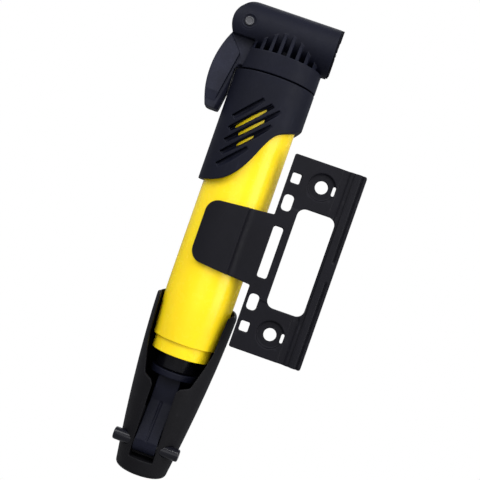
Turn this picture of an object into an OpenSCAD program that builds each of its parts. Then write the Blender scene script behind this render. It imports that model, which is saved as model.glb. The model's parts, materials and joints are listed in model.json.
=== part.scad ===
// Mini bicycle pump in its frame bracket, millimetres, +Z towards the pump head.
// The origin is the middle of the two bottle-boss bolts on the bracket's back face.
// The front, with the thumb lever's cheek and the handle's opening, faces -Y.

/* [Barrel] */
// Outer diameter of the barrel
barrel_d = 30.2; // [28:0.1:34]
// Length of the barrel, neck included
barrel_len = 122.2; // [110:1:140]
// Wall of the barrel
barrel_wall = 2.15; // [1.6:0.05:2.4]
// Distance from the bracket's middle down to the end of the barrel's neck
barrel_below = 53.8; // [50:0.1:56]
// Outer diameter where the tapered end of the barrel stops
barrel_end_d = 27.8; // [27:0.1:28.4]
// Wall of the tapered end at its step
barrel_end_wall = 0.8; // [0.7:0.05:1.2]
// Length of the tapered end, step to full diameter
barrel_taper_len = 18; // [14:0.5:20]
// Diameter of the neck below the step
neck_d = 25.2; // [24.6:0.1:25.8]
// Length of the neck
neck_len = 5.8; // [4.5:0.1:7]
// Wall of the neck
neck_wall = 1.5; // [1.2:0.1:1.8]

/* [Head] */
// Diameter of the head's collar and of the shroud
collar_d = 35.2; // [34.6:0.2:38]
// Height of the collar
collar_h = 8.5; // [7:0.1:9]
// Diameter of the head's cross tube
head_d = 21.4; // [20.8:0.2:22.6]
// Reach of the cross tube from the pump axis on the valve side
head_reach = 19.6; // [19:0.2:24]
// Height of the cross tube's axis above the collar
head_rise = 10.5; // [10.4:0.1:11.4]
// Radius of the rounded lever end, seen from the front
lever_end_r = 10.1; // [9.4:0.1:10.4]
// Distance from the pump axis to the centre of that rounding
lever_end_x = 14.9; // [13.9:0.1:15.3]
// Number of gusset ribs between collar and cross tube
rib_count = 8; // [6:1:8]
// Spacing of the ribs
rib_pitch = 3.8; // [3.4:0.05:4]
// Thickness of a rib
rib_t = 1.5; // [1:0.1:1.8]
// Length of the plug that the barrel fits over
spigot_len = 7.2; // [6.5:0.1:9]
// Radius of the chuck's bore
chuck_r = 7.2; // [7:0.1:7.6]

/* [Shroud] */
// Gap between the shroud and the barrel
shroud_gap = 0.1; // [0.05:0.01:0.2]
// Height of the shroud's wave above its lowest edge
wave_h = 29.1; // [20:0.1:32]
// Length of the shroud on its long side
shroud_len = 49; // [42:0.5:50]
// Sideways place of the middle of the wave
wave_x = 2.1; // [0.5:0.1:4]
// Steepness of the wave, smaller is steeper
wave_run = 5.1; // [4.5:0.1:7]
// How much the wave's lower end is drawn out
wave_tail = 3.3; // [0:0.1:4]
// Vertical spacing of the louvres
louvre_pitch = 5.2; // [4.8:0.1:5.3]
// Distance from the pump axis to the louvres' left ends
louvre_left = 11.8; // [9:0.1:12.4]
// Sideways run of each louvre, lowest first
louvre_runs = [10.2, 16.5, 18, 14.2, 10.2];
// Depth of each louvre's scoop at its middle, lowest first
louvre_depths = [1.4, 2.55, 2.95, 3.2, 1.4];
// Width of a louvre's scoop, across its slit
ramp_w = 2.1; // [1.4:0.1:2.6]
// Width of a louvre's slit
slit_w = 0.55; // [0.4:0.05:0.9]

/* [Lever] */
// Diameter of the lever's pin
lever_pin_d = 3.8; // [2.4:0.1:4.2]
// Distance of the lever's pin from the pump axis
lever_pin_x = 18; // [17.4:0.1:18.4]
// Thickness of the lever's arm between the cheeks
arm_t = 9; // [7.6:0.1:9.4]
// Thickness of the thumb paddle
paddle_t = 11.4; // [10.2:0.1:12.4]
// Distance from the pin down to the paddle's end
lever_len = 38.1; // [34:0.1:42]
// Radius of the cam round the pin
cam_r = 6; // [5.4:0.1:6.2]
// Throw of the cam, and travel of the plunger
cam_throw = 1.4; // [0.8:0.1:1.5]

/* [Chuck] */
// Radius of the valve's hole in the grommet
valve_r = 4; // [3.8:0.05:4.2]
// Length of the grommet
grommet_len = 12.3; // [10:0.1:12.6]
// Radius of the chuck cap's thread
cap_r = 8.7; // [8.2:0.1:9]
// Depth of the chuck cap in the head
cap_depth = 4.8; // [3.6:0.1:5]

/* [Rod and piston] */
// Diameter of the piston rod
rod_d = 10; // [9:0.2:10.6]
// Wall of the piston rod
rod_wall = 1.2; // [0.8:0.1:1.4]
// Height of the piston
piston_h = 8.5; // [7:0.5:10]
// Height of the rubber bumper under the piston
bumper_h = 3; // [2:0.5:4]
// Part of the gland that shows below the barrel's neck
gland_out = 6.4; // [5:0.1:6.6]
// Outer diameter of the gland below the neck
gland_d = 18; // [16:0.5:19]
// Diameter of the yoke's flange
yoke_d = 20.4; // [18:0.2:20.6]
// Thickness of the yoke's flange
yoke_h = 2.6; // [2:0.1:3]

/* [Handle] */
// Outer diameter of the handle's mouth
handle_top_d = 35.8; // [34.8:0.1:38]
// Outer diameter of the handle's lower end
handle_end_d = 22; // [20:0.5:24]
// Length of the handle
handle_len = 76.5; // [74:0.5:80]
// Distance from the barrel's neck down to the hinge pin
hinge_drop = 38.9; // [38:0.1:42]
// Distance from the hinge pin down to the handle's lower end
handle_below = 13.3; // [11:0.1:15]
// Curve of the handle's outline, 1 is a cone
handle_curve = 1.6; // [1.3:0.05:1.9]
// Wall of the handle
handle_wall = 1.6; // [1.2:0.05:1.7]
// Diameter of the hinge pin
hinge_d = 5.3; // [4.6:0.1:5.8]
// Length of the hinge pin
hinge_len = 29; // [26:0.5:32]
// Angle by which the handle is turned to the left on the pump axis
handle_turned = 4; // [0:1:8]
// Distance of the hinge pin in front of the pump axis
hinge_y = 8.2; // [7.6:0.1:8.6]
// Width of the yoke's arm
yoke_arm_w = 9.8; // [8:0.1:10]

/* [Bracket] */
// Spacing of the bottle-boss bolts
bolt_pitch = 64; // [60:1:70]
// Diameter of the bolt holes
bolt_hole_d = 5.4; // [5.2:0.1:6.4]
// Distance from the pump axis to the bolts' line
pump_x = 32.8; // [31.4:0.1:36]
// Distance from the bracket's back face to the pump axis
pump_y = 10.9; // [10:0.1:12]
// Height of the plate
plate_h = 84; // [82:0.2:92]
// Thickness of the plate
plate_t = 2.6; // [2:0.1:3.2]
// Width of the plate on the pump's side of the bolts
plate_left = 14.6; // [14:0.1:15.2]
// Width of the plate on the far side of the bolts
plate_right = 16.4; // [15.6:0.1:18]
// Width of the window
window_w = 16; // [12:0.1:16.6]
// Height of the window
window_h = 43; // [36:0.5:44]
// Width of the strap slots
strap_w = 4.2; // [4.2:0.1:4.8]
// Wall of the clip round the barrel
clip_wall = 1.9; // [1.6:0.1:2.2]
// Half height of the clip at its root
clip_root_h = 15.4; // [13.6:0.1:16]
// Half height of the clip at its tip
clip_tip_h = 13.4; // [11:0.1:14.4]
// Sideways reach of the clip's fingers past the pump axis
clip_reach = 9.2; // [7:0.1:10]

/* [Fits] */
// Radial clearance of a turning or sliding fit
running_gap = 0.08; // [0.04:0.01:0.1]
// Clearance between fixed pieces that fit in each other
seat_gap = 0.05; // [0.02:0.01:0.08]
// Clearance of pieces that pass each other without touching
pass_gap = 0.4; // [0.35:0.05:0.5]
// Gap on each side between the handle's opening and the barrel as it folds
fold_gap = 0.2; // [0.15:0.05:0.3]

/* [Hidden] */
$fn = 96;
through = 60;          // a cut's length where it passes right through
eps = 0.01;            // overlap of a cut past the face that it opens

barrel_r = barrel_d / 2;
bore_r = barrel_r - barrel_wall;
neck_z = -barrel_below;
step_z = neck_z + neck_len;
top_z = neck_z + barrel_len;
neck_bore_r = neck_d / 2 - neck_wall;

seam = 0.3;            // height of the seam between head and shroud
collar_r = collar_d / 2;
collar_z = top_z + seam;
collar_top = collar_z + collar_h;
head_r = head_d / 2;
head_z = collar_top + head_rise;
spigot_r = bore_r - seat_gap;
spigot_z = top_z - spigot_len;
rib_mid_x = 0.3;       // middle of the row of ribs
rib_first_x = rib_mid_x - rib_pitch * (rib_count - 1) / 2;
rib_top = head_rise + 0.7;
neck_core_r = 8;
collar_cut_low = 14.8; // left edge of the collar at its foot
collar_cut_lean = 0.136;

seal_d = 1.8;          // thickness of the O-rings
seal_groove = 2.2;     // width of their grooves
air_r = 1.5;           // radius of the air passage
seat_r = 5;            // radius of the valve seat
seat_h = 1.6;

arm_slot = arm_t + 2 * running_gap + 0.4;
cam_right = -lever_pin_x + cam_r + pass_gap;
slot_right = -lever_pin_x + cam_r + cam_throw + pass_gap;
cheek_wall = 2.6;      // wall between the lever's slot and the chuck
cheek_drop = 6.2;      // height of the pin above the cheeks' lower edge
cheek_low_x = 13.4;    // right end of that edge, as a distance from the pump axis
chuck_x = slot_right + cheek_wall;
cam_roof = head_z + cam_r + cam_throw + 0.6;
lever_r = 40;          // radius of the lever's back
lever_bulge = 2.85;    // how far that back stands out past the head
pad_top = [[-5.1, -7.2], -48.4];     // the paddle's upper edge: a point and its slope
pad_side = [[-0.5, -17.1], -9.5];    // and its edge beside the shroud
end_drop = 1.15;       // drop of the lever end's rounding below the tube's crest
crown_r = 9;           // radius of the bend between them
crown_x = 0.3;         // its place to the right of the rounding's centre
end_mid = [lever_pin_x - lever_end_x, head_r - lever_end_r - end_drop];
corner_turn = 140;     // where the swung-out paddle's upper corner passes the cheeks
paddle_clear = cheek_reach(corner_turn) + pass_gap;
shroud_r = collar_r;
wave_lift_x = 10;      // from here outwards the wave's upper end curls up
wave_lift = 0.068;
shroud_in = barrel_r + shroud_gap;

cap_x = head_reach - cap_depth;
grommet_x = cap_x - 0.3 - grommet_len;
nose_x = grommet_x - cam_throw - pass_gap;
plunger_t = 3;
cap_lip = 0.5;
cap_gap = 0.2;
cap_hole_gap = 0.9;    // clearance of the cap's hole round the valve
stem_r = 3.4;

rod_r = rod_d / 2;
rod_in = rod_r - rod_wall;
yoke_z = neck_z - gland_out - pass_gap;
piston_top = spigot_z - pass_gap;
piston_r = bore_r - running_gap;
gland_in = neck_len + 1;
wiper_r = rod_r + 2.4;
wiper_h = 2.4;         // depth of the wiper's recess in the gland
rod_pin_r = 1.25;
socket_len = 12;

hinge_z = neck_z - hinge_drop;
handle_low = hinge_z - handle_below;
handle_top = handle_low + handle_len;
knuckle_r = 3.8;
arm_back = 5.5;        // back face of the yoke's arm, behind the pump axis
arm_straight = 9;      // length of that face before it leans to the front
handle_slot = yoke_arm_w + 2 * pass_gap;
handle_floor = hinge_z + 16;   // bottom of the handle's round hollow
slot_low = hinge_z - 6.3;      // bottom of the slot for the arm
mouth_corner = 3.5;    // rounding of the handle's mouth, seen from the front
arm_groove = [1.1, 0.45];  // width and depth of the groove down the arm's front
hinge_edge = 0.5;

clip_in = barrel_r + running_gap;
clip_out = clip_in + clip_wall;
plate_front = -pump_y - plate_t;
recess_r = 5.75;
recess_depth = 0.8;
window_x = 2.25;       // middle of the window
window_corner = 3.3;
strap_x = -11.1;       // line of the strap slots
strap_mid_h = 22.1;    // height of the middle strap slot
strap_oval = [21.6, 6.9];      // place and height of the oval slots
strap_end = [32.2, 4.3];       // place and height of the end slots
slit = [1.3, 4];       // width and height of the slits beside the bolts
strip_x = 11.2;        // near edge of the raised strip
strip_t = 0.7;
lip_x = 14.6;          // groove between the strip and the lip
lip_gap = [0.5, 38];   // width and height of each half of that groove
valley_x = 6.4;        // shallow valley between the window and the strip
valley_w = 2.8;
valley_depth = 0.6;

// ---- helpers -------------------------------------------------------------------------

module at_pump() { translate([-pump_x, pump_y, 0]) children(); }

module at_handle() { at_pump() rotate([0, 0, -handle_turned]) children(); }

// A tube about Z, from z0 to z1
module tube(r_out, r_in, z0, z1) {
    translate([0, 0, z0]) difference() {
        cylinder(r = r_out, h = z1 - z0);
        translate([0, 0, -1]) cylinder(r = r_in, h = z1 - z0 + 2);
    }
}

// Children drawn in X and Z, extruded along Y from y0 to y1
module front_slab(y0, y1) {
    translate([0, y1, 0]) rotate([90, 0, 0]) linear_extrude(y1 - y0) children();
}

// Children drawn in Y and Z, extruded along X from x0 to x1
module side_slab(x0, x1) {
    translate([x0, 0, 0]) rotate([90, 0, 90]) linear_extrude(x1 - x0) children();
}

// A cylinder along X
module rod_x(r, x0, x1) { translate([x0, 0, 0]) rotate([0, 90, 0]) cylinder(r = r, h = x1 - x0); }

// A cylinder along Y
module rod_y(r, y0, y1) { translate([0, y1, 0]) rotate([90, 0, 0]) cylinder(r = r, h = y1 - y0); }

// A ring of round section about Z
module o_ring(r_mid, r_wire) {
    rotate_extrude() translate([r_mid, 0]) circle(r = r_wire, $fn = 32);
}

// A flat rectangle with round corners, centred
module rounded(w, h, r) {
    square([w - 2 * r, h], center = true);
    square([w, h - 2 * r], center = true);
    for (x = [-1, 1], y = [-1, 1])
        translate([x * (w / 2 - r), y * (h / 2 - r)]) circle(r = r, $fn = 48);
}

// ---- barrel and its gland ------------------------------------------------------------

module barrel() {
    taper_z = step_z + barrel_taper_len;
    end_r = barrel_end_d / 2;
    edge = 0.7;
    color("gold") at_pump() rotate_extrude() polygon([
        [neck_bore_r, neck_z], [neck_d / 2 - 0.3, neck_z], [neck_d / 2, neck_z + 0.3],
        [neck_d / 2, step_z], [end_r - edge, step_z],
        for (a = [-60 : 30 : 0]) [end_r - edge + edge * cos(a), step_z + edge + edge * sin(a)],
        [barrel_r, taper_z], [barrel_r, top_z], [bore_r, top_z], [bore_r, taper_z],
        [end_r - barrel_end_wall, step_z + 2.2], [neck_bore_r, step_z + 1]]);
}

module barrel_seal() {
    color("black") at_pump() translate([0, 0, spigot_z + spigot_len / 2])
        o_ring(bore_r - seal_d / 2 - seat_gap, seal_d / 2);
}

module gland_nut() {
    body_r = neck_bore_r - seat_gap;
    wiper_z = neck_z + gland_in - wiper_h;
    color("black") at_pump() rotate_extrude() polygon([
        [rod_r + running_gap, neck_z - gland_out], [gland_d / 2 - 0.5, neck_z - gland_out],
        [gland_d / 2, neck_z - gland_out + 0.5], [gland_d / 2, neck_z], [body_r, neck_z],
        [body_r, neck_z + gland_in], [wiper_r, neck_z + gland_in],
        [wiper_r, wiper_z], [rod_r + running_gap, wiper_z]]);
}

module rod_wiper() {
    low = neck_z + gland_in - wiper_h + seat_gap;
    color("dimgray") at_pump()
        tube(wiper_r - seat_gap, rod_r + running_gap, low, neck_z + gland_in - 3 * seat_gap);
}

// ---- shroud --------------------------------------------------------------------------

function tanh(u) = (exp(2 * u) - 1) / (exp(2 * u) + 1);
function wave_z(x) = let (
    run = wave_run + wave_tail / 2 * (1 - tanh((x - wave_x) / wave_run)))
    top_z - shroud_len + wave_h / 2 * (1 + tanh((x - wave_x) / run))
        + wave_lift * pow(max(0, x - wave_lift_x), 2);

// One louvre: a slit of even depth, and under it a scoop that is deepest at its middle
module louvre(run, depth) {
    length = run * sqrt(2);
    slit_deep = shroud_r - shroud_in - 0.5;
    turn = asin((run / 2 - louvre_left) / shroud_r);
    top = -slit_w * 0.7;
    low = -slit_w - ramp_w;
    difference() {
        translate([-louvre_left, -shroud_r - 1, 0]) rotate([0, -45, 0])
            translate([0, 0, -slit_w]) cube([length, shroud_r / 2, slit_w]);
        translate([0, 0, -shroud_len]) cylinder(r = shroud_r - slit_deep, h = 2 * shroud_len);
    }
    rotate([0, 0, turn]) translate([0, 0, run / 2]) rotate([0, -atan(cos(turn)), 0])
        translate([-length / 2, 0, 0]) rotate([90, 0, 90]) linear_extrude(length)
            polygon([[-shroud_r + depth, top], [-shroud_r - 1, top], [-shroud_r - 1, low],
                [-shroud_r, low], [-shroud_r + depth, low + ramp_w * 0.7]]);
}

module head_shroud() {
    low_z = top_z - shroud_len;
    color("#26262b") at_pump() difference() {
        tube(shroud_r, shroud_in, low_z, top_z);
        front_slab(-through / 2, through / 2) polygon([
            for (x = [-20 : 0.5 : 20]) [x, wave_z(x)], [20, low_z - 2], [-20, low_z - 2]]);
        for (side = [0, 1], i = [0 : len(louvre_runs) - 1]) mirror([0, side, 0])
            translate([0, 0, low_z + 8 + louvre_pitch * i])
                louvre(louvre_runs[i], louvre_depths[i]);
    }
}

// ---- head ----------------------------------------------------------------------------

// The cross tube with its rounded lever end
module cross_tube() {
    intersection() {
        translate([0, 0, head_z]) rod_x(head_r, -lever_end_x - lever_end_r - 1, head_reach);
        front_slab(-through / 2, through / 2) difference() {
            union() {
                translate([-lever_end_x, head_z + head_r - end_drop - lever_end_r])
                    circle(r = lever_end_r);
                translate([crown_x - lever_end_x, head_z + head_r - crown_r]) circle(r = crown_r);
                translate([-lever_end_x, head_z - head_r - 1])
                    square([lever_end_x + head_reach, 2 * head_r + 2]);
            }
            // room below the cheeks for the lever's web
            translate([-through / 2, head_z - head_r - 2])
                square([through / 2 - cheek_low_x, head_r + 2 - cheek_drop]);
        }
    }
}

module ribs() {
    intersection() {
        translate([0, 0, collar_top - eps]) cylinder(r1 = collar_r - 0.5, r2 = head_r - 0.3, h = rib_top);
        for (i = [0 : rib_count - 1]) translate([rib_first_x + rib_pitch * i - rib_t / 2, -through / 2,
            collar_top - 1]) cube([rib_t, through, rib_top + 1]);
    }
}

// The part of the head that is left of the collar's leaning cut
module collar_cut() {
    lean = collar_cut_lean * (collar_h + 5);
    front_slab(-through / 2, through / 2) polygon([
        [-through / 2, collar_z - 1], [-collar_cut_low - collar_cut_lean, collar_z - 1],
        [-collar_cut_low + lean, collar_z + collar_h + 5], [-through / 2, collar_z + collar_h + 5]]);
}

module head_solid() {
    cross_tube();
    difference() {
        union() {
            tube(collar_r, 0.5, collar_z, collar_top);
            translate([0, 0, collar_top - eps]) cylinder(r = neck_core_r, h = head_rise);
            ribs();
        }
        collar_cut();
    }
    tube(spigot_r, 0.5, spigot_z, collar_z + eps);
}

module head_body() {
    ring_r = bore_r - seal_d - 2 * seat_gap;
    color("#26262b") at_pump() difference() {
        head_solid();
        // slot for the lever's arm and cam, roofed over
        translate([-through / 2, -arm_slot / 2, collar_top + 0.6])
            cube([through / 2 + slot_right, arm_slot, cam_roof - collar_top - 0.6]);
        // holes for the lever's pin and the plunger's stem
        translate([-lever_pin_x, 0, head_z]) rod_y(lever_pin_d / 2 + seat_gap, -through / 2, through / 2);
        translate([0, 0, head_z]) rod_x(stem_r + running_gap, slot_right - 1, chuck_x + 1);
        // chuck's bore, and the wider bore that the cap screws into
        translate([0, 0, head_z]) rod_x(chuck_r, chuck_x, head_reach + 1);
        translate([0, 0, head_z]) rod_x(cap_r + seat_gap, cap_x - 0.1, head_reach + 1);
        // air passage with its valve pocket
        translate([0, 0, spigot_z - 1]) cylinder(r = air_r, h = head_z - spigot_z);
        translate([0, 0, spigot_z - 1]) cylinder(r = seat_r + seat_gap, h = 1 + seat_h + 2.4);
        // groove for the barrel's seal
        tube(bore_r + 1, ring_r, spigot_z + (spigot_len - seal_groove) / 2,
            spigot_z + (spigot_len + seal_groove) / 2);
    }
}

module valve_seat() {
    color("burlywood") at_pump() translate([0, 0, spigot_z + 0.2]) difference() {
        cylinder(r = seat_r, h = seat_h);
        translate([0, 0, -1]) cylinder(r = 0.9 + seat_gap, h = seat_h + 2);
        for (a = [0 : 60 : 300]) rotate([0, 0, a]) translate([2.5, 0, -1])
            cylinder(r = 0.6, h = seat_h + 2);
    }
}

module check_valve() {
    seat_top = spigot_z + 0.2 + seat_h + seat_gap;
    color("dimgray") at_pump() rotate_extrude() polygon([
        [0, spigot_z + 0.3], [0.9, spigot_z + 0.3], [0.9, seat_top], [3.6, seat_top],
        [3.6, seat_top + 0.5], [1.2, seat_top + 1.1], [0, seat_top + 1.1]]);
}

// ---- lever and chuck -----------------------------------------------------------------

// Distance from the lever's pin to the cheeks' rounding, in the direction a
function cheek_reach(a) = let (u = end_mid * [cos(a), sin(a)])
    u + sqrt(u * u + lever_end_r * lever_end_r - end_mid * end_mid);

module lever_pin() {
    half = sqrt(head_r * head_r - pow(lever_pin_d / 2 + 0.5, 2)) - 0.1;
    color("silver") at_pump() translate([-lever_pin_x, 0, head_z])
        rod_y(lever_pin_d / 2, -half, half);
}

// Outline of the thumb lever, hanging from its pin at the origin
module lever_outline() {
    root_z = -6.5;
    tip_z = -lever_len;
    bulge_x = lever_pin_x - lever_end_x - lever_end_r - lever_bulge;
    bulge_z = (root_z + tip_z) / 2 - 1;
    back_x = function (z) bulge_x + lever_r - sqrt(lever_r * lever_r - pow(z - bulge_z, 2));
    inner_x = lever_pin_x - shroud_r - pass_gap;
    ledge_z = top_z + 0.7 - head_z;
    web_top = collar_top + 4.4 - head_z;
    cut_x = lever_pin_x - collar_cut_low - pass_gap;
    polygon([
        [-cam_r * 0.8, 0],
        for (i = [0 : 12]) let (z = root_z + (tip_z - root_z) * i / 12) [back_x(z), z],
        [back_x(tip_z) + 1.25, tip_z - 0.3], [inner_x - 1.4, tip_z - 0.4],
        [inner_x - 1, tip_z + 0.8], [inner_x, tip_z + 8], [inner_x, ledge_z - 1.5],
        [inner_x + 0.6, ledge_z],
        [cut_x + collar_cut_lean * 0.7, ledge_z],
        [cut_x + collar_cut_lean * (web_top - ledge_z), web_top], [cam_r * 0.6, 0]]);
}

module thumb_lever() {
    bevel_z = -lever_len + 6.8;
    color("#2b2b31") at_pump() translate([-lever_pin_x, 0, head_z]) difference() {
        union() {
            front_slab(-arm_t / 2, arm_t / 2) {
                lever_outline();
                translate([0, cam_throw]) circle(r = cam_r);
            }
            intersection() {
                front_slab(-paddle_t / 2, paddle_t / 2) difference() {
                    lever_outline();
                    circle(r = paddle_clear);
                    // the web beside the paddle is as thin as the arm
                    translate(pad_top[0]) rotate(pad_top[1]) translate([-10, 0]) square([40, 20]);
                    // and so is the strip beside the shroud
                    translate(pad_side[0]) rotate(pad_side[1]) translate([0, -40]) square([20, 60]);
                }
                side_slab(-through / 2, through / 2) polygon([
                    [-paddle_t / 2, 0], [-paddle_t / 2, bevel_z], [-paddle_t / 2 + 2.2, -lever_len - 1],
                    [paddle_t / 2 - 2.2, -lever_len - 1], [paddle_t / 2, bevel_z], [paddle_t / 2, 0]]);
            }
        }
        rod_y(lever_pin_d / 2 + running_gap, -through / 2, through / 2);
    }
}

module plunger() {
    body_r = chuck_r - running_gap;
    body_x = chuck_x + 0.3;
    nose_r = valve_r + 0.8;
    color("dimgray") at_pump() translate([0, 0, head_z]) difference() {
        union() {
            rod_x(stem_r, cam_right, body_x + 1);
            rod_x(body_r, body_x, nose_x);
        }
        rod_x(nose_r, body_x + plunger_t, nose_x + 1);
        rod_x(0.8 + seat_gap, body_x + 0.8, nose_x + 1);
        // groove for the ring, and cross holes for the air
        difference() {
            rod_x(body_r + 1, body_x + 0.6, body_x + 2.4);
            rod_x(body_r - 1.4, body_x, body_x + 3);
        }
        translate([0, 0, -through / 2]) cylinder(r = air_r + 0.4, h = through);
    }
}

module plunger_ring() {
    mid_r = chuck_r - running_gap / 2 - 0.75;
    color("black") at_pump() translate([chuck_x + 1.8, 0, head_z])
        rotate([0, 90, 0]) o_ring(mid_r, 0.65);
}

module depressor() {
    color("silver") at_pump() translate([0, 0, head_z])
        rod_x(0.8, chuck_x + 1.2, nose_x - 0.2);
}

module valve_grommet() {
    groove = 0.9;
    color("#303030") at_pump() translate([grommet_x, 0, head_z]) difference() {
        rod_x(chuck_r - seat_gap, 0, grommet_len);
        rod_x(valve_r, -1, grommet_len + 1);
        translate([grommet_len / 2 - 1, 0, 0]) difference() {
            rod_x(chuck_r + 1, 0, 2);
            rod_x(chuck_r - groove, -1, 3);
        }
    }
}

module chuck_cap() {
    flange_r = head_r - 0.5;
    flange_x = head_reach + cap_gap;
    color("#26262b") at_pump() translate([0, 0, head_z]) difference() {
        union() {
            rod_x(cap_r, cap_x, flange_x + eps);
            rod_x(flange_r, flange_x, flange_x + cap_lip);
            // finger tab at the top of the flange
            intersection() {
                rod_x(head_r - 0.1, flange_x + 0.1, flange_x + cap_lip + 0.5);
                translate([flange_x, -3.2, 6.2]) cube([cap_lip + 1, 6.4, head_r]);
            }
            // ring of grip ribs on the flange's face, open at the tab
            for (a = [45 : 15 : 315]) rotate([a, 0, 0]) translate([flange_x + 0.1, -0.35, cap_r - 2])
                cube([cap_lip + 0.2, 0.7, 2.6]);
        }
        rod_x(valve_r + cap_hole_gap, 0, through);
    }
}

// ---- rod, piston and yoke ------------------------------------------------------------

module piston() {
    low = piston_top - piston_h;
    groove_r = bore_r - seal_d - 2 * seat_gap;
    groove_z = piston_top - 2 - seal_groove;
    color("#3a3a40") at_pump() difference() {
        union() {
            tube(piston_r, 0.5, low, piston_top);
            translate([0, 0, low - socket_len]) cylinder(r = rod_in - running_gap, h = socket_len + 1);
        }
        tube(bore_r + 1, groove_r, groove_z, groove_z + seal_groove);
        translate([0, 0, low - socket_len - 1]) cylinder(r = 1.2, h = piston_h + socket_len + 2);
    }
}

module piston_seal() {
    color("black") at_pump() translate([0, 0, piston_top - 2 - seal_groove / 2])
        o_ring(bore_r - seal_d / 2 - seat_gap, seal_d / 2);
}

module piston_rod() {
    color("silver") at_handle() difference() {
        tube(rod_r, rod_in, yoke_z + seat_gap, piston_top - piston_h - seat_gap);
        translate([0, 0, yoke_z + socket_len / 2]) rod_x(rod_pin_r + seat_gap, -through / 2, through / 2);
    }
}

module bumper() {
    top = piston_top - piston_h - seat_gap;
    color("black") at_handle() tube(rod_r + 3.4, rod_r + seat_gap, top - bumper_h, top);
}

module yoke() {
    hub = [-hinge_y, hinge_z];
    flange_low = yoke_z - yoke_h;
    front_top = [-6.8, flange_low - 11];
    front_edge = [hub[0] - knuckle_r - 0.1, hub[1] + knuckle_r / 2];
    color("#33333a") at_handle() difference() {
        union() {
            translate([0, 0, flange_low]) cylinder(r = yoke_d / 2, h = yoke_h);
            translate([0, 0, yoke_z - eps]) cylinder(r = rod_in - seat_gap, h = socket_len + eps);
            side_slab(-yoke_arm_w / 2, yoke_arm_w / 2) union() {
                polygon([[arm_back, flange_low + eps], [-6.4, flange_low + eps],
                    front_top, front_edge,
                    [hub[0] - knuckle_r, hub[1]], [hub[0] + knuckle_r, hub[1]],
                    [arm_back, flange_low - arm_straight]]);
                translate(hub) circle(r = knuckle_r);
            }
        }
        translate([0, -hinge_y, hinge_z]) rod_x(hinge_d / 2 + running_gap, -through / 2, through / 2);
        translate([0, 0, yoke_z + socket_len / 2]) rod_x(rod_pin_r + seat_gap, -through / 2, through / 2);
        // central groove down the front of the arm
        side_slab(-arm_groove[0] / 2, arm_groove[0] / 2) polygon([
            front_top + [arm_groove[1], 0], front_edge + [arm_groove[1], 0],
            front_edge - [1, 0], front_top - [1, 0]]);
    }
}

module rod_pins() {
    half = sqrt(rod_r * rod_r - rod_pin_r * rod_pin_r) - 0.05;
    color("silver") at_handle() translate([0, 0, yoke_z + socket_len / 2])
        rod_x(rod_pin_r, -half, half);
}

// ---- handle --------------------------------------------------------------------------

// Outer radius of the handle at height z
function handle_r(z) = let (t = (handle_top - z) / handle_len)
    handle_top_d / 2 - (handle_top_d - handle_end_d) / 2 * pow(max(t, 0), handle_curve);

// Outline of the opening in the handle's front, from its mouth down to the arm's slot
module opening_outline() {
    half = [
        [handle_top_d / 2 + 1, handle_top + 1],
        [barrel_r - 0.2 + fold_gap, handle_top - 2.5],
        [barrel_end_d / 2 + fold_gap, step_z - 0.5],
        [neck_d / 2 + fold_gap, neck_z - 0.6],
        [yoke_d / 2 + fold_gap, yoke_z - yoke_h + 0.4],
        [yoke_d / 2 - 0.4, yoke_z - yoke_h - 0.9],
        [handle_slot / 2 + 1.2, yoke_z - yoke_h - 2.2],
        [handle_slot / 2, yoke_z - yoke_h - 4]];
    polygon(concat(half, [for (i = [len(half) - 1 : -1 : 0]) [-half[i][0], half[i][1]]]));
}

module handle() {
    outer = [for (i = [0 : 24]) let (z = handle_top - 0.8 - (handle_len - 2.8) * i / 24)
        [handle_r(z), z]];
    inner_top = handle_top + 1;
    wall_in = function (z) handle_r(z) - handle_wall;
    foot_r = handle_r(handle_low + 2) - 2;
    color("#2b2b31") at_handle() difference() {
        rotate_extrude() polygon(concat(
            [[0, handle_top], [handle_r(handle_top) - 0.5, handle_top]], outer,
            [for (a = [15 : 15 : 90]) [foot_r + 2 * cos(a), handle_low + 2 - 2 * sin(a)]],
            [[0, handle_low]]));
        rotate_extrude() polygon(concat(
            [[0, inner_top], [wall_in(inner_top), inner_top]],
            [for (i = [0 : 16]) let (z = handle_top - (handle_top - handle_floor) * i / 16)
                [wall_in(z), z]],
            [[0, handle_floor - 4]]));
        // room for the barrel
        rotate_extrude() polygon([[0, neck_z - 1], [neck_d / 2 + pass_gap, neck_z - 1],
            [neck_d / 2 + pass_gap, step_z - pass_gap], [barrel_end_d / 2 + pass_gap, step_z - pass_gap],
            [barrel_r + pass_gap, step_z + barrel_taper_len - pass_gap],
            [barrel_r + pass_gap, handle_top + 1], [0, handle_top + 1]]);
        front_slab(-through / 2, 0) opening_outline();
        front_slab(-through / 2, through / 2) for (side = [0, 1]) mirror([side, 0])
            translate([handle_top_d / 2 - mouth_corner, handle_top - mouth_corner]) difference() {
                square(mouth_corner + 1);
                circle(r = mouth_corner);
            }
        // slot for the yoke's arm, with a floor that leans with the arm
        side_slab(-handle_slot / 2, handle_slot / 2) polygon([
            [-through / 2, yoke_z - yoke_h - 3], [arm_back, yoke_z - yoke_h - 3],
            [arm_back + pass_gap, yoke_z - yoke_h - arm_straight],
            [-hinge_y + knuckle_r + pass_gap, hinge_z], [-hinge_y + knuckle_r + pass_gap, slot_low],
            [-through / 2, slot_low]]);
        translate([0, -hinge_y, hinge_z]) rod_x(hinge_d / 2 + seat_gap, -through / 2, through / 2);
    }
}

module hinge_pin() {
    half = hinge_len / 2;
    color("#1c1c20") at_handle() translate([0, -hinge_y, hinge_z]) rotate([0, 90, 0])
        rotate_extrude() polygon([[0, -half], [hinge_d / 2 - hinge_edge, -half],
            [hinge_d / 2, -half + hinge_edge], [hinge_d / 2, half - hinge_edge],
            [hinge_d / 2 - hinge_edge, half], [0, half]]);
}

// ---- bracket -------------------------------------------------------------------------

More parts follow.
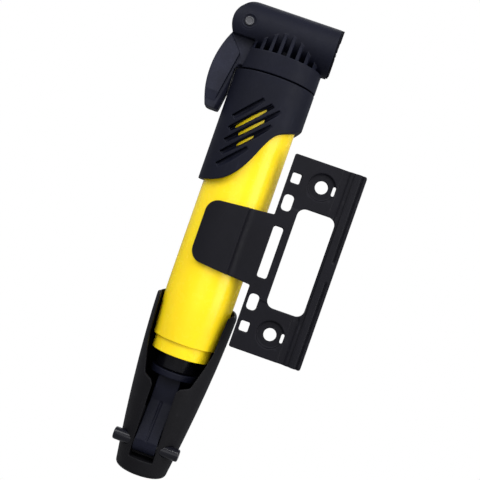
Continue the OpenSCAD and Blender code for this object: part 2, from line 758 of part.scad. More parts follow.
// Front outline of the clip's fingers, tapered, with round corners at the tips
module clip_outline() {
    corner = 5.5;
    root_x = pump_x - plate_left + 0.6;
    tip = [-clip_reach + corner, clip_tip_h - corner];
    polygon([[root_x, clip_root_h], [tip[0], clip_tip_h], [tip[0], -clip_tip_h],
        [root_x, -clip_root_h]]);
    for (s = [-1, 1]) translate([tip[0], s * tip[1]]) circle(r = corner);
    translate([-clip_reach, -tip[1]]) square([corner, 2 * tip[1]]);
}

// Section of the clip, with the web that joins it to the plate and its fillets
module clip_section() {
    fillet = 4;
    reach_y = -plate_front + fillet;
    fillet_x = sqrt(pow(clip_out + fillet, 2) - reach_y * reach_y);
    difference() {
        union() {
            circle(r = clip_out);
            translate([0, plate_front]) square([pump_x - plate_left + 1, plate_t]);
            difference() {
                translate([0, -clip_out]) square([fillet_x, clip_out + plate_front + plate_t]);
                translate([fillet_x, plate_front - fillet]) circle(r = fillet);
            }
            translate([clip_out - 5, plate_front + plate_t - 1]) square([4, 2.4]);
        }
        circle(r = clip_in);
    }
}

module plate_solid() {
    edge = 0.9;
    mid_x = (plate_right - plate_left) / 2;
    front_slab(-plate_t, 0) translate([mid_x, 0]) rounded(plate_left + plate_right, plate_h, edge);
    // raised strip along the far edge
    front_slab(-plate_t - strip_t, -plate_t + eps) translate([(strip_x + plate_right) / 2, 0])
        rounded(plate_right - strip_x, plate_h, 1);
}

module bracket() {
    color("#2f2f35") difference() {
        union() {
            plate_solid();
            at_pump() intersection() {
                translate([0, 0, -clip_root_h - 1]) linear_extrude(2 * clip_root_h + 2) clip_section();
                front_slab(-through / 2, through / 2) clip_outline();
            }
        }
        front_slab(-through / 2, 1) {
            translate([window_x, 0]) rounded(window_w, window_h, window_corner);
            translate([strap_x, 0]) rounded(strap_w, strap_mid_h, 1);
            for (s = [-1, 1]) {
                translate([strap_x, s * strap_oval[0]]) rounded(strap_w, strap_oval[1], 1.6);
                translate([strap_x, s * strap_end[0]]) rounded(strap_w - 0.4, strap_end[1], 0.6);
                translate([0, s * bolt_pitch / 2]) circle(r = bolt_hole_d / 2);
                translate([recess_r - 0.5, s * bolt_pitch / 2]) rounded(slit[0], slit[1], 0.6);
            }
        }
        // recesses round the bolts
        for (s = [-1, 1]) translate([0, 0, s * bolt_pitch / 2])
            rod_y(recess_r, -plate_t - 1, recess_depth - plate_t);
        // groove between the raised strip and the lip, whole at the middle and open at the ends
        for (s = [-1, 1])
            translate([lip_x, -plate_t - strip_t - 1, s * (plate_h + 1) / 2 - (s + 1) / 2 * lip_gap[1]])
                cube([lip_gap[0], 1.5, lip_gap[1]]);
        // shallow valley beside the window
        translate([valley_x, -plate_t - valley_depth, -plate_h / 2 - 1])
            cube([valley_w, 1, plate_h + 2]);
    }
}

bracket();
barrel();
barrel_seal();
gland_nut();
rod_wiper();
head_shroud();
head_body();
valve_seat();
check_valve();
lever_pin();
thumb_lever();
plunger();
plunger_ring();
depressor();
valve_grommet();
chuck_cap();
piston();
piston_seal();
piston_rod();
bumper();
yoke();
rod_pins();
handle();
hinge_pin();
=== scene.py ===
"""The looks of a mini bicycle pump in its frame bracket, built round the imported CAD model."""

import json
import math

import bmesh
import bpy
import numpy as np
from mathutils import Matrix, Vector


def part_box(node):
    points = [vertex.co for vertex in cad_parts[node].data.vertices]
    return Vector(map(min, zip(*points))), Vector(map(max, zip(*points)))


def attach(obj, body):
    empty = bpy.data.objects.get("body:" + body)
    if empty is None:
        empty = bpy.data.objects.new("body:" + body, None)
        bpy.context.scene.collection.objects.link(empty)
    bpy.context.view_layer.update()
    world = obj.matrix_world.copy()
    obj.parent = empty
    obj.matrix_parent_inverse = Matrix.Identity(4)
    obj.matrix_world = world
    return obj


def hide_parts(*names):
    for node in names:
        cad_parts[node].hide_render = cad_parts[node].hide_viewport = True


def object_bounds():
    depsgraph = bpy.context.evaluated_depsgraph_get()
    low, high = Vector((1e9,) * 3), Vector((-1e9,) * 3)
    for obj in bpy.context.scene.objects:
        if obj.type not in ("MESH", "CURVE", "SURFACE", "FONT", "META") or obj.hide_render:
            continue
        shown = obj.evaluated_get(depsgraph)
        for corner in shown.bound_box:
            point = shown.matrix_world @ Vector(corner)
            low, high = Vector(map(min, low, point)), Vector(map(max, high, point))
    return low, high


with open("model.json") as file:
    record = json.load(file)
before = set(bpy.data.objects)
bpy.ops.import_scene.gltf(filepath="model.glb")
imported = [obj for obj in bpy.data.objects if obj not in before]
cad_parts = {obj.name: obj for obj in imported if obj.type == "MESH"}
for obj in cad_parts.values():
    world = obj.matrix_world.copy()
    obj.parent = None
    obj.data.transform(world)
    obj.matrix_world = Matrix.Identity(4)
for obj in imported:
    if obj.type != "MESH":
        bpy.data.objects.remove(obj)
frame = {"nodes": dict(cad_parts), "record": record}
cad_low, cad_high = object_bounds()

MM = 0.001


# ---- places read from the frame --------------------------------------------------------

def middle(node):
    low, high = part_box(node)
    return (low + high) / 2


def joint(name):
    """The record's entry of a joint."""
    return next(entry for entry in frame["record"]["behaviour"]["joints"]
                if entry["name"] == name)


barrel_low, barrel_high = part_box("barrel")
AXIS = Vector((middle("barrel").x, middle("barrel").y, 0.0))
BARREL_R = (barrel_high.x - barrel_low.x) / 2
LEVER_PIN = middle("lever_pin")
HINGE = middle("hinge_pin")
FOLD_AXIS = Vector(joint("handle_fold")["axis"])
STROKE = joint("piston_stroke")["range_m"][1]


# ---- making meshes ---------------------------------------------------------------------

def add_piece(name, mesh, body, material, nodes):
    """Adds a mesh as a piece that rides on a body and stands for CAD nodes."""
    piece = bpy.data.objects.new(name, mesh)
    bpy.context.scene.collection.objects.link(piece)
    mesh.materials.clear()
    mesh.materials.append(material)
    for face in mesh.polygons:
        face.use_smooth = True
    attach(piece, body)
    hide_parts(*nodes)


ON_AXIS = 1e-7         # a radius below this is a point on the axis


def lathe(name, profile, place, turn=None, steps=192):
    """A closed mesh made by turning an outline about Z, which is then turned and placed.

    profile holds (radius, height) points in millimetres and place is in metres."""
    bm = bmesh.new()
    rings = []
    for radius, height in ((r * MM, z * MM) for r, z in profile):
        if radius < ON_AXIS:
            rings.append([bm.verts.new((0, 0, height))])
            continue
        rings.append([
            bm.verts.new((radius * math.cos(a), radius * math.sin(a), height))
            for a in (2 * math.pi * i / steps for i in range(steps))])
    pairs = list(zip(rings, rings[1:]))
    if len(rings[0]) > 1:
        pairs.append((rings[-1], rings[0]))
    for lower, upper in pairs:
        for i in range(steps):
            j = (i + 1) % steps
            if len(lower) == 1:
                bm.faces.new((lower[0], upper[j], upper[i]))
            elif len(upper) == 1:
                bm.faces.new((lower[i], lower[j], upper[0]))
            else:
                bm.faces.new((lower[i], lower[j], upper[j], upper[i]))
    bmesh.ops.recalc_face_normals(bm, faces=bm.faces)
    mesh = bpy.data.meshes.new(name)
    bm.to_mesh(mesh)
    bm.free()
    if turn is not None:
        mesh.transform(turn)
    mesh.transform(Matrix.Translation(place))
    return mesh


MOST_OF_SIDE = 0.45      # share of a side that one corner's rounding may take


def rounded_profile(points, steps=4):
    """The closed outline through (radius, height, rounding) points, with its corners rounded.

    A point on the axis has no rounding."""
    made = []
    for i, point in enumerate(points):
        here = Vector(point[:2])
        if here.x < ON_AXIS:
            made.append(tuple(here))
            continue
        back = Vector(points[i - 1][:2]) - here
        ahead = Vector(points[(i + 1) % len(points)][:2]) - here
        reach = min(point[2], back.length * MOST_OF_SIDE, ahead.length * MOST_OF_SIDE)
        start = here + back.normalized() * reach
        end = here + ahead.normalized() * reach
        for s in range(steps + 1):
            t = s / steps
            made.append(tuple((1 - t) ** 2 * start + 2 * t * (1 - t) * here + t * t * end))
    return made


def evaluated(piece):
    """The mesh that a piece's modifiers make."""
    graph = bpy.context.evaluated_depsgraph_get()
    graph.update()
    return bpy.data.meshes.new_from_object(piece.evaluated_get(graph))


SAME_POINT = 1e-6      # metres between vertices that are welded


def moulded(node, name, body, slot, material, voxel, passes, keep, sculpt):
    """A copy of a CAD node with the soft edges of a moulding, which stands for the node.

    voxel is in millimetres, passes is the number of smoothing passes and keep the share of the
    faces that stays. sculpt, if any, moves the vertices, an array in millimetres."""
    bm = bmesh.new()
    bm.from_mesh(frame["nodes"][node].data)
    bmesh.ops.remove_doubles(bm, verts=bm.verts, dist=SAME_POINT)
    mesh = bpy.data.meshes.new(name + "_rough")
    bm.to_mesh(mesh)
    bm.free()
    work = bpy.data.objects.new(name + "_work", mesh)
    bpy.context.scene.collection.objects.link(work)
    remesh = work.modifiers.new("voxels", "REMESH")
    remesh.mode = "VOXEL"
    remesh.voxel_size = voxel * MM
    fine = evaluated(work)
    work.modifiers.clear()
    work.data = fine
    if sculpt is not None:
        points = np.empty(len(fine.vertices) * 3)
        fine.vertices.foreach_get("co", points)
        moved = sculpt(points.reshape(-1, 3) / MM)
        fine.vertices.foreach_set("co", (moved * MM).ravel())
        fine.update()
    smooth = work.modifiers.new("soft", "SMOOTH")
    smooth.factor = 0.5
    smooth.iterations = passes
    if keep < 1:
        thin = work.modifiers.new("thin", "DECIMATE")
        thin.ratio = keep
    final = evaluated(work)
    bpy.data.objects.remove(work)
    final.name = name
    add_piece(name, final, body, material, (node,))


# ---- materials -------------------------------------------------------------------------

def new_material(name):
    """A material with nodes, and with them its node tree and its main shader."""
    material = bpy.data.materials.new(name)
    material.use_nodes = True
    tree = material.node_tree
    shader = tree.nodes["Principled BSDF"]
    return material, tree, shader


def noise_node(tree, coordinates, scale, detail, roughness):
    node = tree.nodes.new("ShaderNodeTexNoise")
    node.inputs["Scale"].default_value = scale
    node.inputs["Detail"].default_value = detail
    node.inputs["Roughness"].default_value = roughness
    tree.links.new(coordinates, node.inputs["Vector"])
    return node


def ramp_node(tree, source, stops):
    """Turns a value into a color by (place, color) stops."""
    node = tree.nodes.new("ShaderNodeValToRGB")
    elements = node.color_ramp.elements
    while len(elements) < len(stops):
        elements.new(0.5)
    for element, (place, color) in zip(elements, stops):
        element.position = place
        element.color = (*color, 1.0)
    tree.links.new(source, node.inputs["Fac"])
    return node


NOISE_LOW, NOISE_HIGH = 0.3, 0.7      # the span in which nearly all of a noise's values lie


def range_node(tree, source, low, high):
    """Spreads a noise over the span from low to high."""
    node = tree.nodes.new("ShaderNodeMapRange")
    node.inputs["From Min"].default_value = NOISE_LOW
    node.inputs["From Max"].default_value = NOISE_HIGH
    node.inputs["To Min"].default_value = low
    node.inputs["To Max"].default_value = high
    tree.links.new(source, node.inputs["Value"])
    return node


def bump_node(tree, height, strength, distance):
    node = tree.nodes.new("ShaderNodeBump")
    node.inputs["Strength"].default_value = strength
    node.inputs["Distance"].default_value = distance
    tree.links.new(height, node.inputs["Height"])
    return node


# Noises, as (marks per metre, detail, roughness).
PLASTIC_TONE = (90, 4, 0.6)
PLASTIC_SHEEN = (260, 5, 0.65)
YELLOW_TONE = (55, 3, 0.5)
YELLOW_SHEEN = (300, 4, 0.6)
YELLOW_WAVE = (420, 2, 0.4)
METAL_MARKS = (2500, 4, 0.6)
GRAIN_DETAIL = (2, 0.6)             # the last two for a plastic's grain
GRAIN_STRENGTH = 0.35

TONE_SPAN = (0.35, 0.65)            # a noise's values at the dark and the light tone
FLAT, SHARP = 0.51, 0.60            # pointiness where rubbing starts, and where it is full
RUBBED_GAIN, RUBBED_LIFT = 1.9, 0.01
SHEEN_DOWN, SHEEN_UP = 0.05, 0.07   # how far a plastic's roughness strays


def plastic(name, color, roughness, grain=0.35, grain_depth=0.02, mottle=0.12, wear=0.25,
            specular=0.5):
    """Moulded plastic: fine grain, slow changes of tone and sheen, edges rubbed lighter.

    grain is the size of its grain and grain_depth the depth, both in millimetres. mottle is the
    share by which the tone strays and wear the share of rubbed color at an edge."""
    material, tree, shader = new_material(name)
    place = tree.nodes.new("ShaderNodeTexCoord").outputs["Object"]
    tone = noise_node(tree, place, *PLASTIC_TONE)
    dark = tuple(c * (1 - mottle) for c in color)
    light = tuple(min(1.0, c * (1 + mottle)) for c in color)
    shade = ramp_node(tree, tone.outputs["Fac"], list(zip(TONE_SPAN, (dark, light))))
    edge = ramp_node(tree, tree.nodes.new("ShaderNodeNewGeometry").outputs["Pointiness"],
                     [(FLAT, (0, 0, 0)), (SHARP, (wear, wear, wear))])
    rubbed = tree.nodes.new("ShaderNodeMix")
    rubbed.data_type = "RGBA"
    tree.links.new(edge.outputs["Color"], rubbed.inputs["Factor"])
    tree.links.new(shade.outputs["Color"], rubbed.inputs["A"])
    worn = [min(1.0, c * RUBBED_GAIN + RUBBED_LIFT) for c in color]
    rubbed.inputs["B"].default_value = (*worn, 1)
    tree.links.new(rubbed.outputs["Result"], shader.inputs["Base Color"])
    sheen = range_node(tree, noise_node(tree, place, *PLASTIC_SHEEN).outputs["Fac"],
                       roughness - SHEEN_DOWN, roughness + SHEEN_UP)
    tree.links.new(sheen.outputs["Result"], shader.inputs["Roughness"])
    fine = noise_node(tree, place, 1000 / grain, *GRAIN_DETAIL)
    bump = bump_node(tree, fine.outputs["Fac"], GRAIN_STRENGTH, grain_depth * MM)
    tree.links.new(bump.outputs["Normal"], shader.inputs["Normal"])
    shader.inputs["Specular IOR Level"].default_value = specular
    return material


def yellow_plastic():
    """Glossy yellow tube, slightly translucent, with a faint slow wave in its surface."""
    material, tree, shader = new_material("yellow_barrel")
    place = tree.nodes.new("ShaderNodeTexCoord").outputs["Object"]
    tone = noise_node(tree, place, *YELLOW_TONE)
    deep, pale = (0.94, 0.66, 0.010), (0.97, 0.71, 0.013)
    shade = ramp_node(tree, tone.outputs["Fac"], [(NOISE_LOW, deep), (NOISE_HIGH, pale)])
    tree.links.new(shade.outputs["Color"], shader.inputs["Base Color"])
    glossiest, dullest = 0.22, 0.30
    sheen = range_node(tree, noise_node(tree, place, *YELLOW_SHEEN).outputs["Fac"],
                       glossiest, dullest)
    tree.links.new(sheen.outputs["Result"], shader.inputs["Roughness"])
    wave = noise_node(tree, place, *YELLOW_WAVE)
    wave_strength, wave_height = 0.06, 0.03 * MM
    bump = bump_node(tree, wave.outputs["Fac"], wave_strength, wave_height)
    tree.links.new(bump.outputs["Normal"], shader.inputs["Normal"])
    shader.inputs["Specular IOR Level"].default_value = 0.26
    shader.inputs["Subsurface Weight"].default_value = 0.25
    shader.inputs["Subsurface Radius"].default_value = (1.0, 0.7, 0.2)
    shader.inputs["Subsurface Scale"].default_value = 2 * MM
    return material


METAL_DARK = 0.85                   # the darkest marks, as a share of the metal's color
METAL_DOWN, METAL_UP = 0.06, 0.08   # how far a metal's roughness strays
MARK_STRENGTH, MARK_DEPTH = 0.2, 0.01 * MM


def metal(name, color, roughness, brush=(1, 1, 1)):
    """Metal with fine marks, longer along the axes where brush is small."""
    material, tree, shader = new_material(name)
    place = tree.nodes.new("ShaderNodeTexCoord").outputs["Object"]
    stretch = tree.nodes.new("ShaderNodeMapping")
    stretch.inputs["Scale"].default_value = brush
    tree.links.new(place, stretch.inputs["Vector"])
    marks = noise_node(tree, stretch.outputs["Vector"], *METAL_MARKS)
    dark = tuple(c * METAL_DARK for c in color)
    tone = ramp_node(tree, marks.outputs["Fac"], [(NOISE_LOW, dark), (NOISE_HIGH, color)])
    tree.links.new(tone.outputs["Color"], shader.inputs["Base Color"])
    sheen = range_node(tree, marks.outputs["Fac"], roughness - METAL_DOWN, roughness + METAL_UP)
    tree.links.new(sheen.outputs["Result"], shader.inputs["Roughness"])
    bump = bump_node(tree, marks.outputs["Fac"], MARK_STRENGTH, MARK_DEPTH)
    tree.links.new(bump.outputs["Normal"], shader.inputs["Normal"])
    shader.inputs["Metallic"].default_value = 1.0
    return material


black = plastic("black_moulding", (0.0028, 0.0034, 0.0095), 0.55, specular=0.15)
black_lever = plastic("black_lever", (0.0105, 0.0115, 0.022), 0.55, grain=0.8, grain_depth=0.12,
                      mottle=0.3, specular=0.2)
black_handle = plastic("black_handle", (0.0034, 0.0032, 0.0044), 0.55, specular=0.15)
black_bracket = plastic("black_bracket", (0.0038, 0.0036, 0.0062), 0.55, grain=0.5,
                        specular=0.15)
black_gland = plastic("black_gland", (0.0022, 0.0022, 0.0036), 0.28, specular=0.2)
black_cap = plastic("black_cap", (0.0036, 0.0034, 0.0060), 0.65, specular=0.06)
grey = plastic("grey_moulding", (0.17, 0.17, 0.18), 0.45)
nylon = plastic("nylon", (0.72, 0.66, 0.52), 0.4, wear=0.0)
rubber = plastic("black_rubber", (0.018, 0.018, 0.018), 0.72, grain=0.25, grain_depth=0.03)
yellow = yellow_plastic()
steel = metal("steel", (0.085, 0.085, 0.09), 0.42)
alloy = metal("rod_alloy", (0.80, 0.81, 0.83), 0.25, brush=(1, 1, 0.04))
pin_black = plastic("pin_black", (0.005, 0.005, 0.008), 0.16, grain=0.8, grain_depth=0.002,
                    mottle=0.05, specular=0.25)

NODE_LOOKS = {
    "barrel_seal": rubber, "rod_wiper": rubber, "check_valve": rubber, "plunger_ring": rubber,
    "valve_grommet": rubber, "piston_seal": rubber, "bumper": rubber,
    "valve_seat": nylon, "plunger": grey, "piston": grey,
    "depressor": steel, "rod_pins": steel, "piston_rod": alloy,
}


# ---- pieces ----------------------------------------------------------------------------

# Measures of the turned pieces, in millimetres, as in the CAD model.
BARREL_WALL = 2.15
NECK_R, NECK_BORE_R, NECK_LEN = 12.6, 11.1, 5.8
STEP_R = 13.9                            # outer radius at the step above the neck
STEP_BORE_R, STEP_BORE_RISE = 13.1, 2.2  # where the bore's cone starts, above the step
TAPER_LEN = 18
GLAND_R, GLAND_PLUG_R, GLAND_BORE_R = 9, 11.05, 5.08
WIPER_R, WIPER_DEPTH = 7.4, 2.4
DISH, DISH_DEPTH, DISH_EDGE = 0.62, 0.1, 0.15   # in the lever pin's ends; the first is a share


def make_barrel():
    low, high = barrel_low.z / MM, barrel_high.z / MM
    step = low + NECK_LEN
    taper = step + TAPER_LEN
    radius = BARREL_R / MM
    bore = radius - BARREL_WALL
    profile = rounded_profile([
        (NECK_BORE_R, low, 0.2), (NECK_R, low, 0.5), (NECK_R, step, 0.25), (STEP_R, step, 0.7),
        (radius, taper, 6), (radius, high, 0.4), (bore, high, 0.3), (bore, taper, 4),
        (STEP_BORE_R, step + STEP_BORE_RISE, 0.3), (NECK_BORE_R, step + 1, 0.2)], 6)
    mesh = lathe("barrel_tube", profile, AXIS)
    add_piece("barrel_tube", mesh, "pump", yellow, ("barrel",))


def make_gland():
    low, high = (corner.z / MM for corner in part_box("gland_nut"))
    neck = barrel_low.z / MM
    shelf = high - WIPER_DEPTH
    profile = rounded_profile([
        (GLAND_BORE_R, low, 0.3), (GLAND_R, low, 0.6), (GLAND_R, neck, 0.1),
        (GLAND_PLUG_R, neck, 0.1), (GLAND_PLUG_R, high, 0.3), (WIPER_R, high, 0.2),
        (WIPER_R, shelf, 0.1), (GLAND_BORE_R, shelf, 0.1)])
    mesh = lathe("gland", profile, AXIS)
    add_piece("gland", mesh, "pump", black_gland, ("gland_nut",))


def make_lever_pin():
    """The lever's steel pin, with a shallow dish in each end."""
    low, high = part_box("lever_pin")
    half, radius = (high.y - low.y) / 2 / MM, (high.z - low.z) / 2 / MM
    inner = radius * DISH
    outer = inner + DISH_EDGE
    sunk = half - DISH_DEPTH
    profile = rounded_profile([
        (0, -sunk), (inner, -sunk, 0.1), (outer, -half, 0.1), (radius, -half, 0.3),
        (radius, half, 0.3), (outer, half, 0.1), (inner, sunk, 0.1), (0, sunk)])
    lying = Matrix.Rotation(math.radians(90), 4, "X")
    mesh = lathe("lever_rivet", profile, LEVER_PIN, lying, 64)
    add_piece("lever_rivet", mesh, "pump", steel, ("lever_pin",))


def make_hinge_pin():
    """The handle's glossy hinge pin, with well rounded ends."""
    low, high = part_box("hinge_pin")
    vertices = frame["nodes"]["hinge_pin"].data.vertices
    half = max((vertex.co - HINGE).dot(FOLD_AXIS) for vertex in vertices) / MM
    radius = (high.z - low.z) / 2 / MM
    profile = rounded_profile([
        (0, -half), (radius, -half, 0.9), (radius, half, 0.9), (0, half)], 6)
    turn = Vector((0, 0, 1)).rotation_difference(FOLD_AXIS).to_matrix().to_4x4()
    mesh = lathe("hinge_bolt", profile, HINGE, turn, 96)
    add_piece("hinge_bolt", mesh, "handle", pin_black, ("hinge_pin",))


def smooth_step(values, low, high):
    """Goes softly from 0 to 1 while the values go from low to high."""
    share = np.clip((values - low) / (high - low), 0, 1)
    return share * share * (3 - 2 * share)


def hill(distance, width):
    """A soft hill, 1 high where the distance is 0, whose half width is about the given one."""
    return np.exp(-(distance / width) ** 2)


# Rings round the lever's pin, in millimetres: radius, half width and depth.
MOAT = (2.3, 0.4, 0.7)
OUTER_RING = (3.4, 0.3, 0.15)
CHEEK = 7.5             # the head's cheeks are beyond this distance from the pump's axis


def ring_round_pin(points):
    """A moat round the lever's pin in both cheeks, and a shallow ring outside it."""
    pin = LEVER_PIN / MM
    reach = np.hypot(points[:, 0] - pin.x, points[:, 2] - pin.z)
    depth = sum(deep * hill(reach - radius, width) for radius, width, deep in (MOAT, OUTER_RING))
    side = points[:, 1] - pin.y
    points[:, 1] -= np.where(np.abs(side) > CHEEK, np.sign(side) * depth, 0)
    return points


# The paddle's front, in millimetres from the lever's pin.
PADDLE_TOP = -17.5      # the cut lies below this height
EDGE_TOP = -17.1        # height at which the front edge is at EDGE_X
EDGE_X, EDGE_LEAN = -0.5, 0.167
PADDLE_HALF = 5.7       # half of the paddle's thickness at the edge
PADDLE_SLOPE = 0.95     # how fast it thins beyond the edge
UNCUT = 99


def lean_paddle(points):
    """Cuts the paddle's sides back on its inner side, behind a slanted front edge."""
    pin = LEVER_PIN / MM
    x, y, z = points[:, 0] - pin.x, points[:, 1] - pin.y, points[:, 2] - pin.z
    edge = EDGE_X - EDGE_LEAN * (EDGE_TOP - z)
    cut = PADDLE_HALF - np.clip(x - edge, 0, None) * PADDLE_SLOPE
    allowed = np.where(z < PADDLE_TOP, cut, UNCUT)
    points[:, 1] = pin.y + np.clip(y, -allowed, allowed)
    return points


# The seam below the collar, in millimetres: spans of radius and of depth below the shroud's top.
SEAM_LIP = (15.9, 16.2)      # the lip is raised within this
SEAM_RIM = (16.3, 16.6)      # the rim is lowered beyond this
SEAM_DEPTH = (1.2, 0.2)
SEAM_SHIFT = 0.3


def widen_seam(points):
    """Opens the seam below the collar at the shroud's outer edge and closes it on the inside."""
    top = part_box("head_shroud")[1].z / MM
    reach = np.hypot(points[:, 0] - AXIS.x / MM, points[:, 1] - AXIS.y / MM)
    rim = smooth_step(reach, *SEAM_RIM)
    lip = 1 - smooth_step(reach, *SEAM_LIP)
    near_top = smooth_step(points[:, 2], top - SEAM_DEPTH[0], top - SEAM_DEPTH[1])
    points[:, 2] += SEAM_SHIFT * (lip - rim) * near_top
    return points


FLANGE_R = 9.6          # the cap's rim is beyond this radius, in millimetres
FLANGE_REACH = 0.5      # and no farther than this from the head's end
FLANGE_SHIFT = 0.35


def close_cap(points):
    """Draws the rim of the cap's flange up to the head's rounded end."""
    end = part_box("head_body")[1].x / MM
    reach = np.hypot(points[:, 1] - LEVER_PIN.y / MM, points[:, 2] - LEVER_PIN.z / MM)
    rim = (reach > FLANGE_R) & (points[:, 0] < end + FLANGE_REACH)
    points[:, 0] -= np.where(rim, FLANGE_SHIFT, 0)
    return points


# The bracket's front, in millimetres from the middle between its bolts. Heights z are taken
# without their sign, because both ends are alike, and each pair is a span of a soft step.
SUNK_START = (19.6, 20.3)               # z where the sunk end starts
SUNK_EDGE = (9.3, 9.9)                  # x where it ends
SUNK_BEND, SUNK_SLANT = 22.5, 0.7       # below this z its edge slants inwards
GROOVE_X, GROOVE_WIDTH, GROOVE_START = 14.6, 0.42, (3.5, 5)
RIDGE_X, RIDGE_WIDTH, RIDGE_START = 11.4, 0.35, (21, 25)
BOLT_Z, BOLT_RING = 32, (5.2, 5.8)
SUNK_DEEP, GROOVE_DEEP, RIDGE_DEEP, RING_DEEP = 0.4, 0.75, 0.25, 0.4
FRONT_SPAN = (1.0, 1.6)                 # -y between the plate's middle and its front
PLATE_LEFT = -14.4                      # the clip is to the left of this x


def emboss_plate(points):
    """The bracket's front: sunk ends, a groove and a line by its edge, deeper bolt rings."""
    x, y, z = points[:, 0], points[:, 1], np.abs(points[:, 2])
    slant = SUNK_SLANT * (SUNK_BEND - z).clip(0)
    sunk = smooth_step(z, *SUNK_START) * (1 - smooth_step(x + slant, *SUNK_EDGE))
    groove = hill(x - GROOVE_X, GROOVE_WIDTH) * smooth_step(z, *GROOVE_START)
    ridge = hill(x - RIDGE_X, RIDGE_WIDTH) * smooth_step(z, *RIDGE_START)
    ring = 1 - smooth_step(np.hypot(x, z - BOLT_Z), *BOLT_RING)
    depth = SUNK_DEEP * sunk + GROOVE_DEEP * groove + RIDGE_DEEP * ridge + RING_DEEP * ring
    front = smooth_step(-y, *FRONT_SPAN) * (x > PLATE_LEFT)
    points[:, 1] += depth * front
    return points


# CAD node, name, body, slot, material, voxel, smoothing passes, share of faces kept and sculpt.
MOULDINGS = (
    ("head_shroud", "shroud", "pump", "black_plastic", black, 0.2, 5, 0.35, widen_seam),
    ("head_body", "head", "pump", "black_plastic", black, 0.2, 5, 0.35, ring_round_pin),
    ("thumb_lever", "lever", "lever", "black_plastic", black_lever, 0.18, 8, 0.5, lean_paddle),
    ("chuck_cap", "cap", "cap", "black_plastic", black_cap, 0.15, 3, 0.5, close_cap),
    ("yoke", "handle_yoke", "rod", "black_plastic", black, 0.2, 4, 0.5, None),
    ("handle", "handle_shell", "handle", "black_plastic", black_handle, 0.22, 6, 0.35, None),
    ("bracket", "frame_bracket", "bracket", "bracket_plastic", black_bracket, 0.22, 4, 0.35,
     emboss_plate),
)


def make_mouldings():
    for moulding in MOULDINGS:
        moulded(*moulding)


EDGE_ROUNDING = 0.12 * MM
SHARP_EDGE = math.radians(35)      # edges that turn by more than this are rounded


def dress_nodes():
    """Gives each CAD node that stays its material and small rounded edges."""
    for name, material in NODE_LOOKS.items():
        node = frame["nodes"][name]
        node.data.materials.clear()
        node.data.materials.append(material)
        weld = node.modifiers.new("weld", "WELD")
        weld.merge_threshold = SAME_POINT
        bevel = node.modifiers.new("edges", "BEVEL")
        bevel.width = EDGE_ROUNDING
        bevel.segments = 2
        bevel.limit_method = "ANGLE"
        bevel.angle_limit = SHARP_EDGE


# ---- camera, light and floor -----------------------------------------------------------

CAMERA_PLACE = Vector((-13.4, -361.3, 4.36)) * MM
CAMERA_YAW = math.radians(1.76)       # to the left of straight ahead
CAMERA_PITCH = math.radians(-0.58)
CAMERA_ROLL = math.radians(19.3)
CAMERA_LENS, CAMERA_SENSOR = 65.6, 36.0
CAMERA_NEAR, CAMERA_FAR = 0.01, 50


def make_camera():
    data = bpy.data.cameras.new("camera")
    data.lens, data.sensor_width = CAMERA_LENS, CAMERA_SENSOR
    data.clip_start, data.clip_end = CAMERA_NEAR, CAMERA_FAR
    camera = bpy.data.objects.new("camera", data)
    bpy.context.scene.collection.objects.link(camera)
    ahead = Vector((-math.sin(CAMERA_YAW) * math.cos(CAMERA_PITCH),
                    math.cos(CAMERA_YAW) * math.cos(CAMERA_PITCH), math.sin(CAMERA_PITCH)))
    level = ahead.cross(Vector((0, 0, 1))).normalized()
    upright = level.cross(ahead)
    side = math.cos(CAMERA_ROLL) * level + math.sin(CAMERA_ROLL) * upright
    up = math.cos(CAMERA_ROLL) * upright - math.sin(CAMERA_ROLL) * level
    turn = Matrix((side, up, -ahead)).transposed()
    camera.matrix_world = Matrix.Translation(CAMERA_PLACE) @ turn.to_4x4()
    bpy.context.scene.camera = camera


LIGHT_DISTANCE = 1.2

# Square panels of light: name, azimuth to the right of the front and elevation, both in degrees,
# power in watts and side in metres.
LIGHTS = (
    ("front", 0, 10, 3.0, 0.8),
    ("right", 65, 0, 8.5, 0.8),
    ("left", -80, 0, 0.5, 0.8),
    ("high_right", 40, 45, 8.3, 0.8),
    ("high_left", -45, 40, 9.0, 0.8),
    ("high_back", 180, 35, 3, 0.8),
    ("top_glint", -4, 52, 0.8, 0.1),
)
GLOW_COLOR, GLOW_STRENGTH = (0.93, 0.96, 1.06, 1), 0.42
WHITE = (1, 1, 1, 1)


def area_light(name, azimuth, elevation, power, side):
    """A soft panel that faces the middle of the object from the given direction."""
    data = bpy.data.lights.new(name, "AREA")
    data.size, data.energy = side, power
    light = bpy.data.objects.new(name, data)
    a, e = math.radians(azimuth), math.radians(elevation)
    target = (cad_low + cad_high) / 2
    away = Vector((math.sin(a) * math.cos(e), -math.cos(a) * math.cos(e), math.sin(e)))
    light.location = target + away * LIGHT_DISTANCE
    light.rotation_mode = "QUATERNION"
    light.rotation_quaternion = away.to_track_quat("Z", "Y")
    bpy.context.scene.collection.objects.link(light)


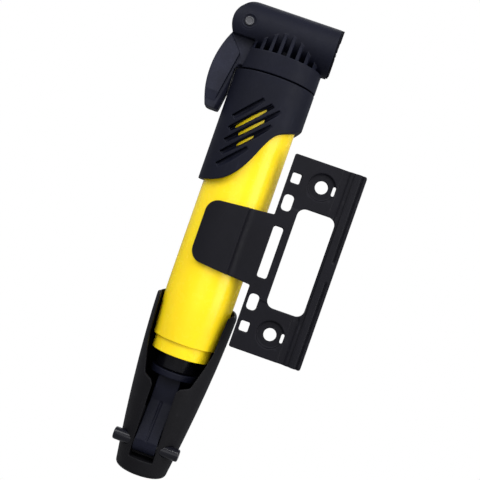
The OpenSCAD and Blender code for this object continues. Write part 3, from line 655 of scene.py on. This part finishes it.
def white_to_camera(tree, lighting, seen, output):
    """Shows one shader to the camera, while the other lights the scene."""
    path = tree.nodes.new("ShaderNodeLightPath")
    mix = tree.nodes.new("ShaderNodeMixShader")
    tree.links.new(path.outputs["Is Camera Ray"], mix.inputs["Fac"])
    tree.links.new(lighting, mix.inputs[1])
    tree.links.new(seen, mix.inputs[2])
    tree.links.new(mix.outputs["Shader"], output.inputs["Surface"])


def make_studio():
    """The panels, and an even glow that looks pure white to the camera."""
    for light in LIGHTS:
        area_light(*light)
    world = bpy.data.worlds.new("studio")
    bpy.context.scene.world = world
    world.use_nodes = True
    tree = world.node_tree
    glow = tree.nodes["Background"]
    glow.inputs["Color"].default_value = GLOW_COLOR
    glow.inputs["Strength"].default_value = GLOW_STRENGTH
    seen = tree.nodes.new("ShaderNodeBackground")
    seen.inputs["Color"].default_value = WHITE
    seen.inputs["Strength"].default_value = 1.0
    white_to_camera(tree, glow.outputs["Background"], seen.outputs["Background"],
                    tree.nodes["World Output"])
    bpy.context.scene.view_settings.view_transform = "Standard"


FLOOR_REACH = 12.0
FLOOR_GAP = 30 * MM
FLOOR_COLOR, FLOOR_ROUGHNESS = (0.3, 0.3, 0.3, 1), 0.9


def make_floor():
    """A wide pale floor, below the handle even at the end of its stroke."""
    mesh = bpy.data.meshes.new("floor")
    reach, level = FLOOR_REACH, cad_low.z - STROKE - FLOOR_GAP
    mesh.from_pydata([(-reach, -reach, level), (reach, -reach, level), (reach, reach, level),
                      (-reach, reach, level)], [], [(0, 1, 2, 3)])
    floor = bpy.data.objects.new("floor", mesh)
    bpy.context.scene.collection.objects.link(floor)
    material, tree, shader = new_material("pale_floor")
    shader.inputs["Base Color"].default_value = FLOOR_COLOR
    shader.inputs["Roughness"].default_value = FLOOR_ROUGHNESS
    white = tree.nodes.new("ShaderNodeEmission")
    white_to_camera(tree, shader.outputs["BSDF"], white.outputs["Emission"],
                    tree.nodes["Material Output"])
    mesh.materials.append(material)


make_camera()
make_barrel()
make_gland()
make_lever_pin()
make_hinge_pin()
make_mouldings()
dress_nodes()
make_studio()
make_floor()

bpy.context.view_layer.update()
